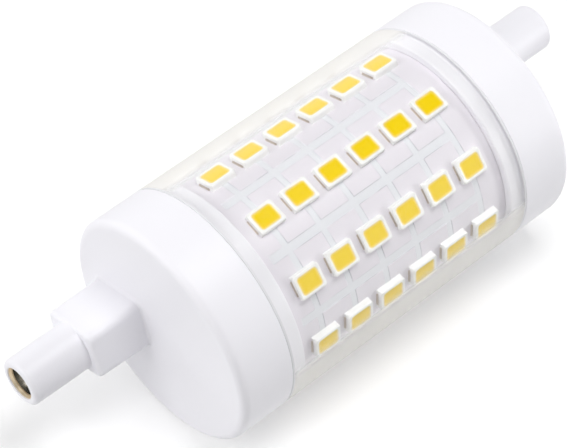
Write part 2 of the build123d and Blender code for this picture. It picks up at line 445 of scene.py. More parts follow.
@dataclass(frozen=True)
class MaskFinish(Finish):
    """White solder mask over etched copper: warmer over the copper, cooler in its gaps, with dashes of darker
    grey on the gaps' walls, partly the mask thinning over the copper's edges and partly painted shade of the
    walls.

    Attributes:
        gap_colour: Colour over the etched gaps.
        wall_shade_colour: Darker grey on the gaps' walls, in dashes: partly the mask thinning over the
            copper's edges, partly painted shade of the walls.
        edge_depths: Depths between copper and gap at which that colour starts, is full, fades and ends.
        edge_length: Length of the stretches in which an edge shows.
        edge_from: Level of their pattern at which they begin.
        edge_full: Level at which they are full.
    """

    gap_colour: str = "#FFFFFF"
    wall_shade_colour: str = "#808080"
    edge_depths: tuple[float, float, float, float] = (0.2, 0.4, 0.6, 0.85)
    edge_length: float = 1.6
    edge_from: float = 0.36
    edge_full: float = 0.56

    def pattern(self, tree: Tree, shader: Node, place: Socket) -> None:
        """Colour the mask by the depth that the board's mesh holds.

        Args:
            tree: The material's tree.
            shader: Its Principled node.
            place: Object coordinates, in metres.
        """
        depth = {"Fac": node(tree, "ShaderNodeAttribute", attribute_name="depth").outputs["Fac"]}
        copper, gap = (0.0, self.colour), (1.0, self.gap_colour)
        # Dashes of darker grey on the gaps' walls: partly the mask thinning over the copper's edges, partly
        # painted shade of the walls
        colours = self.colour, self.wall_shade_colour, self.wall_shade_colour, self.gap_colour
        plain = node(tree, "ShaderNodeValToRGB", depth, (copper, gap))
        shaded_walls = node(tree, "ShaderNodeValToRGB", depth, (copper, *zip(self.edge_depths, colours), gap))
        cloud = node(tree, "ShaderNodeTexNoise", {"Vector": place, "Scale": per_mm(self.edge_length)})
        share = node(tree, "ShaderNodeMapRange", {"Value": cloud, 1: self.edge_from, 2: self.edge_full})
        mixed = node(tree, "ShaderNodeMix", {0: share, 6: plain, 7: shaded_walls}, data_type="RGBA")
        wire(shader, {"Base Color": mixed.outputs[2]})


@dataclass(frozen=True)
class PhosphorFinish(Finish):
    """Phosphor cast in silicone: deep yellow in the middle, pale yellow and then cream as it thins.

    Attributes:
        slope_colour: Colour where it starts to thin.
        rim_colour: Colour at the brim of the cup.
        slope_from: Share of the way to the brim at which it starts to thin.
        slope_full: Share at which it has the slope's colour.
        grain: Size of the phosphor's grains, coarser than real so that they show.
        grain_reach: How far the grains blur the colours' borders.
    """

    slope_colour: str = "#FFFFFF"
    rim_colour: str = "#FFFFFF"
    slope_from: float = 0.25
    slope_full: float = 0.65
    grain: float = 0.12
    grain_reach: float = 0.08

    def pattern(self, tree: Tree, shader: Node, place: Socket) -> None:
        """Mix the colours by the distance that the window's mesh holds, with grains.

        Args:
            tree: The material's tree.
            shader: Its Principled node.
            place: Object coordinates, in metres.
        """
        rim = node(tree, "ShaderNodeAttribute", attribute_name="rim").outputs["Fac"]
        grains = node(tree, "ShaderNodeTexNoise", {"Vector": place, "Scale": per_mm(self.grain)})
        blur = {0: grains, 1: 2 * self.grain_reach, 2: -self.grain_reach}
        rough = node(tree, "ShaderNodeMath", blur, operation="MULTIPLY_ADD")
        blurred = node(tree, "ShaderNodeMath", {0: rim, 1: rough}, operation="ADD", use_clamp=True)
        places = 0.0, self.slope_from, self.slope_full, 1.0
        stops = tuple(zip(places, (self.colour, self.colour, self.slope_colour, self.rim_colour)))
        wire(shader, {"Base Color": node(tree, "ShaderNodeValToRGB", {"Fac": blurred}, stops)})


@dataclass(frozen=True)
class MetalFinish(Finish):
    """Drawn, plated or tinned metal: fine marks of its making in the gloss.

    Attributes:
        mark: Size of the marks, coarser than real so that they show.
        relief: Height of the marks.
    """

    metallic: float = 1.0
    mark: float = 0.25
    relief: float = 0.004

    def pattern(self, tree: Tree, shader: Node, place: Socket) -> None:
        """Add the marks as bump.

        Args:
            tree: The material's tree.
            shader: Its Principled node.
            place: Object coordinates, in metres.
        """
        marks = node(tree, "ShaderNodeTexNoise", {"Vector": place, "Scale": per_mm(self.mark)})
        bump = node(tree, "ShaderNodeBump", {"Height": marks, "Distance": self.relief * MM})
        wire(shader, {"Normal": bump})


# White polycarbonate from a fine-grained mould: a soft satin with a cool tint
CAP_PLASTIC = MouldedFinish("moulded white polycarbonate", "#F8F7FC", 0.42)
# Clear polycarbonate, extruded: nearly invisible face on, milky at a slant
TUBE_PLASTIC = ClearFinish("extruded clear polycarbonate", "#FEFEFD", 0.07, ior=1.42)
# The same, sawn across: frosted, a pale grey
TUBE_END = MouldedFinish("sawn polycarbonate edge", "#E8E8EB", 0.7, grain=0.12, relief=0.02)
# White solder mask printed on a rolled aluminium board: a flat white with a hint of lilac; the darker grey on
# the walls of its etched gaps is partly painted shade
BOARD_MASK = MaskFinish(
    "printed white solder mask", "#F0ECF3", 0.45, gap_colour="#EFF0F5", wall_shade_colour="#B2B1BC"
)
# White polyphthalamide, moulded: the brightest white of the bulb, matt
LED_RESIN = MouldedFinish("moulded white polyphthalamide", "#FEFEFC", 0.5, grain=0.1, relief=0.002)
# Yellow phosphor cast in clear silicone: a deep yellow that looks wet
PHOSPHOR = PhosphorFinish(
    "cast phosphor silicone", "#FFDB0A", 0.12, ior=1.41, slope_colour="#FFE06A", rim_colour="#FFF6E4"
)
# Tinned copper, dulled by flux: a warm grey with little shine
TINNED = MetalFinish("tinned copper", "#CDC0B4", 0.5, metallic=0.6, mark=0.15, relief=0.01)
# Brass drawn to a cup: a soft pale gold
BRASS = MetalFinish("drawn brass", "#E8D7BA", 0.5)
# Nickel plate on a turned pin: a dark grey shine
NICKEL = MetalFinish("nickel plated brass", "#C4C2BC", 0.2)
# Parts of the driver, closed in by the board: the plain colours and soft gloss that such parts have
DRIVER_FINISHES: dict[str, Finish] = {
    "driver_board": MouldedFinish("green solder mask on glass epoxy", "#2E6B46", 0.4, grain=0.5),
    "input_capacitor": MouldedFinish("moulded yellow polyester", "#C9A83A", 0.45),
    "smoothing_capacitor": MouldedFinish("black shrink sleeve", "#26262A", 0.35),
    "choke_core": MouldedFinish("sintered ferrite", "#3B3836", 0.6, grain=0.15, relief=0.01),
    "choke_winding": MetalFinish("enamelled copper wire", "#B5673F", 0.3),
    "fuse_resistor": MouldedFinish("blue-grey resistor lacquer", "#7F9DA4", 0.35),
    "feed_pins": MetalFinish("tinned header pins", "#A9A39A", 0.35),
    "bridge_rectifier": MouldedFinish("moulded black epoxy", "#1D1D1F", 0.5),
    "driver_chip": MouldedFinish("moulded black epoxy, fine", "#202022", 0.45),
    "sense_resistors": MouldedFinish("black resistor glaze", "#18181A", 0.3),
}


@dataclass(frozen=True)
class BulbSizes:
    """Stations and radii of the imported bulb, in millimetres, and its turn about the tube.

    Attributes:
        body_radius: Outside of the tube and the caps.
        tube_end: Half length of the tube.
        collar: Station of the collars' inner ends.
        tip: Station of the posts' tips.
        board_radius: Outside of the LED board.
        board_end: Half length of the LED board.
        post_aside: Post axis from tube axis.
        lie: Direction of the posts' offset, in radians from +Y towards +Z.
        recess: Station of the floor of the recess in a post.
        crown: Station of the contact pins' crowns.
        pin_end: Station of the contact pins' inner ends.
        sleeve_lip: Station of the lips of the contact sleeves.
        sleeve_radius: Outside of the contact sleeves.
        row_turns: Direction of each row of LEDs, in radians.
        row_reach: Half length of a row of LED housings.
    """

    body_radius: float
    tube_end: float
    collar: float
    tip: float
    board_radius: float
    board_end: float
    post_aside: float
    lie: float
    recess: float
    crown: float
    pin_end: float
    sleeve_lip: float
    sleeve_radius: float
    row_turns: tuple[float, ...]
    row_reach: float

    @classmethod
    def from_frame(cls) -> BulbSizes:
        """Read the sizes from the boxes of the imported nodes.

        Returns:
            The sizes.
        """
        names = ("clear_tube", "end_cap_right", "led_board", "contact_pin_right", "contact_sleeve_right")
        boxes = [[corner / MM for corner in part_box(name)] for name in (*names, *row_nodes(Row.HOUSING))]
        tube, cap, board, pin, sleeve, *rows = boxes
        post = (pin[0] + pin[1]) / 2
        return cls(
            body_radius=tube[1].z,
            tube_end=tube[1].x,
            collar=cap[0].x,
            tip=cap[1].x,
            board_radius=board[1].z,
            board_end=board[1].x,
            post_aside=math.hypot(post.y, post.z),
            lie=math.atan2(post.z, post.y),
            recess=sleeve[0].x,
            crown=pin[1].x,
            pin_end=pin[0].x,
            sleeve_lip=sleeve[1].x,
            sleeve_radius=(sleeve[1].y - sleeve[0].y) / 2,
            row_turns=tuple(math.atan2(low.z + high.z, low.y + high.y) for low, high in rows),
            row_reach=rows[0][1].x,
        )

    def point(self, x: float, aside: float, level: float) -> Vector:
        """Place a point at a station, aside along the posts' offset and up a level square to it.

        Args:
            x: Station along the tube.
            aside: Distance along the offset.
            level: Distance square to the offset.

        Returns:
            The point in the frame, in millimetres.
        """
        cos, sin = math.cos(self.lie), math.sin(self.lie)
        return Vector((x, aside * cos - level * sin, aside * sin + level * cos))

    def spin(self, profile: Profile, aside: float, count: int, side: Side = Side.RIGHT) -> list[Ring]:
        """Turn a profile about an axis along X.

        Args:
            profile: Stations and radii in order, a radius plain or by direction.
            aside: The axis from the tube's, along the posts' offset.
            count: Number of points of a ring.
            side: End of the bulb.

        Returns:
            A ring of points for each station, in millimetres.
        """
        made = []
        for x, radius in profile:
            made.append([])
            for i in range(count):
                turn = 2 * math.pi * i / count
                reach = radius(turn) if callable(radius) else radius
                away, level = aside + reach * math.cos(turn), reach * math.sin(turn)
                made[-1].append(self.point(side.value * x, away, level))
        return made


@dataclass
class EndCap:
    """A moulded cap: the cup with its collar, the neck and the post in one piece.

    Attributes:
        side: End of the bulb.
        sizes: Stations and radii of the bulb.
        hold: Length of the short bands that keep the shading of the flats apart from the roundings.
    """

    side: Side
    sizes: BulbSizes
    cap_length: float = 6.9
    neck_length: float = 7.0
    seam: float = 0.05
    end_wall: float = 1.5
    edge_radius: float = 1.0
    rim_edge: float = 0.08
    collar_step: float = 0.65
    collar_edge: float = 0.2
    neck_width: float = 7.8
    neck_height: float = 6.1
    neck_draft: float = 1.2
    neck_corner: float = 0.9
    least_corner: float = 0.15
    neck_front: float = 0.5
    neck_root: float = 0.3
    post_radius: float = 2.9
    post_foot: float = 0.4
    foot_draft: float = 3.5
    tip_edge: float = 0.55
    recess_radius: float = 2.0
    mouth_edge: float = 0.12
    pin_hole: float = 0.77
    rail_length: float = 9.0
    rail_depth: float = 2.0
    rail_thickness: float = 1.0
    rail_pitch: float = 2.1
    rail_level: float = -1.27
    points: int = 224
    hold: float = 0.03
    steps: int = 8
    edge_steps: int = 16
    fine_steps: int = 4

    def __post_init__(self) -> None:
        """Work out the stations that follow from the frame."""
        self.rim = self.sizes.tube_end + self.seam
        self.end = self.rim + self.cap_length
        self.floor = self.end - self.end_wall
        self.neck_end = self.end + self.neck_length
        self.bore = self.sizes.board_radius + self.seam

    def neck_reach(self, x: float, inset: float) -> Callable[[float], float]:
        """Outline of the neck at a station, by direction from the post's axis.

        Args:
            x: Station along the tube.
            inset: Distance that the outline is drawn in.

        Returns:
            A function from direction to distance. It never falls below the foot of the post.
        """
        grow = (self.end + self.neck_length / 2 - x) * math.tan(math.radians(self.neck_draft)) - inset
        corner = max(self.neck_corner + grow, self.least_corner)
        half = (self.neck_width / 2 + grow, self.neck_height / 2 + grow)
        foot = self.foot_radius(x)
        return lambda turn: max(rounded_box(*half, corner, turn), foot)

    def foot_radius(self, x: float) -> float:
        """Radius of the post at a station, with its flared foot."""
        flare = max(self.neck_end + self.post_foot - max(x, self.neck_end - self.neck_front), 0.0)
        return self.post_radius + flare * math.tan(math.radians(self.foot_draft))

    def cup_profile(self) -> Profile:
        """Profile of the cup about the tube's axis, from the collar over the outside to the flat end.

        Returns:
            Stations and radii.
        """
        start, outer = self.sizes.collar, self.sizes.body_radius
        collar, edge, lip = outer - self.collar_step, self.collar_edge, self.rim_edge
        shoulder, flat = self.end - self.edge_radius, outer - self.edge_radius
        made = [(start, self.bore)]
        made += quarter((start, collar - edge), (start + edge, collar), self.fine_steps, x_first=False)
        made += [(self.rim, collar)]
        made += quarter((self.rim, outer - lip), (self.rim + lip, outer), self.fine_steps, x_first=False)
        made += [(self.rim + lip + self.hold, outer), (shoulder - self.hold, outer)]
        made += quarter((shoulder, outer), (self.end, flat), self.edge_steps, x_first=True)
        return made + [(self.end, flat - self.hold)]

    def neck_profile(self) -> Profile:
        """Profile of the neck about the post's axis, from its root on the flat end to its rounded front.

        Returns:
            Stations and outlines.
        """
        root, front, hold = self.neck_root, self.neck_front, self.hold
        made = [(self.end, -root - hold)]
        made += quarter((self.end, -root), (self.end + root, 0.0), self.fine_steps, x_first=False)
        made += [(self.end + root + hold, 0.0), (self.neck_end - front - hold, 0.0)]
        made += quarter((self.neck_end - front, 0.0), (self.neck_end, front), self.steps, x_first=True)
        made += [(self.neck_end, front + hold)]
        return [(x, self.neck_reach(x, inset)) for x, inset in made]

    def post_profile(self) -> Profile:
        """Profile of the post about its axis, from its foot over the tip into the recess and the pin's hole.

        Returns:
            Stations and radii.
        """
        tip, edge, mouth, radius = self.sizes.tip, self.tip_edge, self.mouth_edge, self.post_radius
        made = [(self.neck_end, self.foot_radius(self.neck_end)), (self.neck_end + self.post_foot, radius)]
        made += [(tip - edge - self.hold, radius)]
        made += quarter((tip - edge, radius), (tip, radius - edge), self.steps, x_first=True)
        brim, wall = (tip, self.recess_radius + mouth), (tip - mouth, self.recess_radius)
        made += quarter(brim, wall, self.fine_steps, x_first=False)
        made += [(self.sizes.recess, self.recess_radius), (self.sizes.recess, self.pin_hole)]
        return made + [(self.floor, self.pin_hole)]

    def build(self, material: Material) -> Piece:
        """Make the cap.

        Args:
            material: Its plastic.

        Returns:
            The cap's object.
        """
        skin = (
            (self.cup_profile(), 0.0),
            (self.neck_profile() + self.post_profile(), self.sizes.post_aside),
            ([(self.floor, self.bore)], 0.0),
        )
        rings: list[Ring] = []
        for profile, aside in skin:
            rings += self.sizes.spin(profile, aside, self.points, self.side)
        name = f"end_cap_{self.side.name.lower()}"
        self.build_rails(material)
        return add_piece(f"moulded_{name}", loft(rings, closed=True), [material], [name])

    def build_rails(self, material: Material) -> Piece:
        """Make the two rails on the inside of the cap's end, which hold an end of the driver board.

        Args:
            material: The cap's plastic.

        Returns:
            The rails' object.
        """
        made = bmesh.new()
        for step in (-0.5, 0.5):
            level = self.rail_level + step * self.rail_pitch
            low, high = level - self.rail_thickness / 2, level + self.rail_thickness / 2
            corners = [(-self.rail_length, low), (0.0, low), (0.0, high), (-self.rail_length, high)]
            stations = [self.side.value * (self.floor + x) for x in (self.hold, -self.rail_depth)]
            rings = [[self.sizes.point(x, *corner) for corner in corners] for x in stations]
            made.from_mesh(loft(rings, closed=False))
        return add_piece(f"driver_rails_{self.side.name.lower()}", seal(made), [material], [])


@dataclass
class Contact:
    """The contact in a post's tip: a brass cup with a flared mouth and a plated seat, and a nickel pin.

    Attributes:
        side: End of the bulb.
        sizes: Stations and radii of the bulb.
    """

    side: Side
    sizes: BulbSizes
    wall: float = 0.2
    lip: float = 0.06
    flare: float = 0.32
    groove: float = 0.05
    groove_width: float = 0.1
    groove_slope: float = 0.02
    floor: float = 0.12
    head_radius: float = 1.1
    head_height: float = 0.7
    crown_flat: float = 0.25
    dome: float = 0.42
    shank_radius: float = 0.75
    point_radius: float = 0.5
    point_length: float = 0.25
    gap: float = 0.03
    points: int = 96
    lip_steps: int = 4
    dome_steps: int = 8

    def lathe(self, profile: Profile, closed: bool, bands: Sequence[int] | None = None) -> Mesh:
        """Turn a profile about the post's axis, open or closed on itself, with the materials of its bands."""
        return loft(self.sizes.spin(profile, self.sizes.post_aside, self.points, self.side), closed, bands)

    def build_sleeve(self, brass: Material, plate: Material) -> Piece:
        """Make the brass cup: a flared mouth, a groove under it, and a plated seat down to the pin's head.

        Args:
            brass: Its metal.
            plate: The plating of its seat.

        Returns:
            The cup's object.
        """
        low, lip, outer = self.sizes.recess, self.sizes.sleeve_lip, self.sizes.sleeve_radius
        inner, half, hole = outer - self.wall, self.lip / 2, self.head_radius + self.gap
        top, neck, bottom = (lip, outer - half), lip - self.flare, lip - self.flare - self.groove_width
        shape = [(low, hole), (low, outer)]
        shape += quarter((lip - half, outer), top, self.lip_steps, x_first=True)
        shape += quarter(top, (lip - half, outer - self.lip), self.lip_steps, x_first=False)[1:]
        sunk = inner + self.groove
        shape += [(neck, inner), (neck - self.groove_slope, sunk), (bottom, sunk)]
        bands = [0] * len(shape) + [1, 1, 0]
        shape += [(bottom - self.groove_slope, inner), (low + self.floor, inner), (low + self.floor, hole)]
        name = f"contact_sleeve_{self.side.name.lower()}"
        mesh = self.lathe(shape, True, bands)
        return add_piece(f"brass_{name}", mesh, [brass, plate], [name])

    def build_pin(self, material: Material) -> Piece:
        """Make the pin, with a domed head.

        Args:
            material: Its metal.

        Returns:
            The pin's object.
        """
        crown, end = self.sizes.crown, self.sizes.pin_end
        under = crown - self.head_height
        shape = [(end, self.point_radius), (end + self.point_length, self.shank_radius)]
        shape += [(under, self.shank_radius), (under, self.head_radius)]
        rim = (crown - self.dome, self.head_radius)
        shape += quarter(rim, (crown, self.crown_flat), self.dome_steps, x_first=True)
        name = f"contact_pin_{self.side.name.lower()}"
        return add_piece(f"plated_{name}", self.lathe(shape, False), [material], [name])


@dataclass
class ClearTube:
    """The clear tube between the caps, with sawn ends, frosted a little way along by the saw.

    Attributes:
        sizes: Stations and radii of the bulb.
        crisp: Least angle of a crisp edge, in degrees.
    """

    sizes: BulbSizes
    wall: float = 0.6
    edge: float = 0.04
    frost: float = 0.28
    closing: float = 0.04
    points: int = 320
    crisp: float = 20.0

    def build(self, clear: Material, sawn: Material) -> Piece:
        """Make the tube.

        Args:
            clear: Its plastic.
            sawn: The plastic where it was cut.

        Returns:
            The tube's object.
        """
        end, outer = self.sizes.tube_end + self.closing, self.sizes.body_radius
        inner = outer - self.wall
        half = [(end - self.frost, outer), (end - self.edge, outer), (end, outer - self.edge)]
        half += [(end, inner + self.edge), (end - self.edge, inner)]
        shape = half + [(-x, radius) for x, radius in reversed(half)]
        bands = [1, 1, 1, 1, 0] * 2
        mesh = loft(self.sizes.spin(shape, 0.0, self.points), True, bands, self.crisp)
        return add_piece("polished_clear_tube", mesh, [clear, sawn], ["clear_tube"])


@dataclass
class LedBoard:
    """The LED board: a sheet rolled into a cylinder, with the copper's etched gaps in relief under the mask.

    Attributes:
        sizes: Stations and radii of the bulb.
        facet: Degrees round the board that one face takes.
        crisp: Least angle of a crisp edge, in degrees.
    """

    sizes: BulbSizes
    thickness: float = 0.35
    seam: float = 0.5
    seam_after_row: int = 9
    leds_per_row: int = 6
    led_length: float = 3.5
    line_gap: float = 0.9
    ring_gap: float = 0.65
    line_past_led: float = 2.3
    gap_depth: float = 0.05
    gap_wall: float = 0.1
    facet: float = 1.5
    crisp: float = 12.0

    def columns(self) -> list[float]:
        """Stations of the LEDs along a row."""
        reach = self.sizes.row_reach - self.led_length / 2
        return [-reach + 2 * reach * i / (self.leds_per_row - 1) for i in range(self.leds_per_row)]

    def stations(self) -> list[tuple[float, bool, bool]]:
        """Stations along the tube at which the relief changes.

        Returns:
            Each station, whether a ring gap is there, and whether the line gaps reach it.
        """
        columns = self.columns()
        first = columns[0] - self.line_past_led
        half, wall, end = self.ring_gap / 2, self.gap_wall, self.sizes.board_end
        made = [(-end, False, False), (first - wall, False, False), (first, False, True)]
        for x in columns:
            made += [(x - half - wall, False, True), (x - half, True, True)]
            made += [(x + half, True, True), (x + half + wall, False, x < columns[-1])]
        return made + [(end, False, False)]

    def turns(self) -> list[tuple[float, bool]]:
        """Directions round the board at which the relief changes, from one edge of the sheet to the other.

        Returns:
            Each direction in radians, and whether a line gap is there.
        """
        radius, count = self.sizes.board_radius, len(self.sizes.row_turns)
        step = 2 * math.pi / count
        start = self.sizes.row_turns[self.seam_after_row - 1] + step / 2
        half, wall = self.line_gap / 2 / radius, self.gap_wall / radius
        made = []
        for row in range(count):
            low, high = start + row * step, start + (row + 1) * step
            low += self.seam / 2 / radius if row == 0 else half + wall
            high -= self.seam / 2 / radius if row == count - 1 else half + wall
            parts = round(math.degrees(high - low) / self.facet)
            made += [(low + (high - low) * i / parts, False) for i in range(parts + 1)]
            if row < count - 1:
                made += [(high + wall, True), (high + wall + 2 * half, True)]
        return made

    def build(self, material: Material) -> Piece:
        """Make the sheet, its outside in relief and its inside plain, with the depth as an attribute.

        Args:
            material: Its solder mask.

        Returns:
            The board's object.
        """
        made = bmesh.new()
        depth = made.verts.layers.float.new("depth")
        outer: list[Loop] = []
        inner: list[Loop] = []
        radius, turns = self.sizes.board_radius, self.turns()
        for x, ring_gap, line_reaches in self.stations():
            etched = [ring_gap or (line_gap and line_reaches) for _, line_gap in turns]
            outside = [radius - (self.gap_depth if gap else 0.0) for gap in etched]
            inside = [radius - self.thickness] * len(turns)
            for grid, reaches in ((outer, outside), (inner, inside)):
                polar = [(reach, turn) for reach, (turn, _) in zip(reaches, turns)]
                grid.append(lay(made, [Vector((x, r * math.cos(t), r * math.sin(t))) for r, t in polar]))
            for vert, gap in zip(outer[-1], etched):
                vert[depth] = 1.0 if gap else 0.0
        for i in range(len(outer) - 1):
            bridge(made, outer[i] + inner[i][::-1], outer[i + 1] + inner[i + 1][::-1])
        for i in (0, -1):
            for j in range(len(outer[i]) - 1):
                made.faces.new((outer[i][j], outer[i][j + 1], inner[i][j + 1], inner[i][j]))
        return add_piece("rolled_led_board", seal(made, self.crisp), [material], ["led_board"])


@dataclass
class LedPackage:
    """One LED package, made once at the origin with Z up from the board.

    Attributes:
        length: Along the tube.
        width: Across the row.
        height: Over the board.
        bevel_round: Share of the top bevel's height that is left at its middle.
        dish: Shares of the rim's width, and how far the phosphor lies under its brim there.
        window_crisp: Least angle of a crisp edge of the phosphor, in degrees.
    """

    length: float = 3.5
    width: float = 2.8
    height: float = 0.72
    corner: float = 0.18
    top_bevel: float = 0.07
    bevel_round: float = 0.3
    ledge: float = 0.22
    ledge_inset: float = 0.06
    ledge_rise: float = 0.04
    foot_sunk: float = 0.08
    foot_end_inset: float = 0.05
    foot_side_inset: float = 0.04
    foot_overlap: float = 0.02
    slot_gap: float = 0.03
    cup_length: float = 2.88
    cup_width: float = 2.26
    cup_corner: float = 0.42
    cup_depth: float = 0.28
    cup_slope: float = 0.1
    cup_lip: float = 0.04
    cup_lip_depth: float = 0.02
    fill_drop: float = 0.02
    fill_inset: float = 0.16
    fill_depth: float = 0.2
    rim_width: float = 0.5
    least_corner: float = 0.15
    dish: tuple[tuple[float, float], ...] = ((0.0, 0.0), (0.2, 0.018), (0.5, 0.026), (1.0, 0.03))
    window_crisp: float = 60.0
    lead_width: float = 1.8
    lead_length: float = 1.0
    lead_height: float = 0.16
    lead_lift: float = 0.02
    solder_reach: float = 0.1
    solder_climb: float = 0.75
    solder_dip: float = 0.01
    solder_steps: int = 4
    points: int = 48

    def outline(self, length: float, width: float, corner: float, height: float) -> Ring:
        """Ring in the shape of a rounded rectangle.

        Args:
            length: Along X.
            width: Along Y.
            corner: Radius of its corners.
            height: Along Z.

        Returns:
            The points.
        """
        made = []
        for i in range(self.points):
            turn = 2 * math.pi * (i + 0.5) / self.points
            reach = rounded_box(length / 2, width / 2, corner, turn)
            made.append(Vector((reach * math.cos(turn), reach * math.sin(turn), height)))
        return made

    def housing(self) -> Mesh:
        """Make the resin housing: a bevelled frame round a tapered cup, on a foot with room for the leads.

        Returns:
            The mesh.
        """
        top, bevel = self.height, self.top_bevel
        frame = (
            (-self.ledge_inset, self.ledge),
            (0.0, self.ledge + self.ledge_rise),
            (0.0, top - bevel),
            (-bevel, top - bevel * self.bevel_round),
            (-2 * bevel, top),
        )
        cup = (
            (self.cup_lip, top),
            (0.0, top - self.cup_lip_depth),
            (-2 * self.cup_slope, top - self.cup_depth),
        )
        long, wide = self.cup_length, self.cup_width
        rings = [self.outline(self.length + grow, self.width + grow, self.corner, z) for grow, z in frame]
        rings += [self.outline(long + grow, wide + grow, self.cup_corner, z) for grow, z in cup]
        return self.add_foot(loft(rings, closed=False))

    def add_foot(self, mesh: Mesh) -> Mesh:
        """Add the foot under a housing, in the shape of an H between and beside the leads.

        Args:
            mesh: The housing.

        Returns:
            A mesh of the housing and the foot.
        """
        end, side = self.length / 2 - self.foot_end_inset, self.width / 2 - self.foot_side_inset
        web = self.length / 2 - self.lead_length - self.slot_gap
        slot = self.lead_width / 2 + self.slot_gap
        plan = [(web, slot), (end, slot), (end, side), (-end, side), (-end, slot), (-web, slot)]
        plan += [(-x, -y) for x, y in plan]
        made = bmesh.new()
        made.from_mesh(mesh)
        levels = -self.foot_sunk, self.ledge + self.foot_overlap
        low, high = [lay(made, [Vector((x, y, z)) for x, y in plan]) for z in levels]
        bridge(made, low, high)
        made.faces.new(low)
        made.faces.new(high)
        return seal(made)

    def window(self) -> Mesh:
        """Make the phosphor in the cup: a shallow dish that climbs its wall, with its rim as an attribute.

        Returns:
            The mesh.
        """
        top = self.height - self.fill_drop
        shape = [(self.fill_inset, self.cup_corner, self.fill_depth, 1.0)]
        for share, drop in self.dish:
            corner = max(self.cup_corner - share * self.rim_width, self.least_corner)
            shape.append((2 * share * self.rim_width, corner, drop, 1.0 - share))
        made = bmesh.new()
        rim = made.verts.layers.float.new("rim")
        loops: list[Loop] = []
        for inset, corner, drop, nearness in shape:
            ring = self.outline(self.cup_length - inset, self.cup_width - inset, corner, top - drop)
            loops.append(lay(made, ring))
            for vert in loops[-1]:
                vert[rim] = nearness
        for near, far in zip(loops, loops[1:]):
            bridge(made, near, far)
        middle = made.verts.new(Vector((0.0, 0.0, top - self.dish[-1][1])) * MM)
        for i in range(self.points):
            made.faces.new((loops[-1][i - 1], loops[-1][i], middle))
        made.faces.new(loops[0])
        return seal(made, self.window_crisp)

    def leads(self) -> Mesh:
        """Make the two leads with their solder, which climbs each lead's end in a hollow curve.

        Returns:
            The mesh.
        """
        outer, low, half = self.length / 2, self.lead_lift, self.lead_width / 2
        inner, toe, high = outer - self.lead_length, outer + self.solder_reach, low + self.lead_height
        climb = (outer, low + self.solder_climb * self.lead_height)
        hollow = quarter((toe, low), climb, self.solder_steps, x_first=True)
        section = [(inner, low), (toe, low - self.solder_dip), *hollow[1:], (outer, high), (inner, high)]
        made = bmesh.new()
        for way in (-1, 1):
            near, far = [lay(made, [Vector((way * x, y, z)) for x, z in section]) for y in (-half, half)]
            bridge(made, near, far)
            made.faces.new(near)
            made.faces.new(far)
        return seal(made)


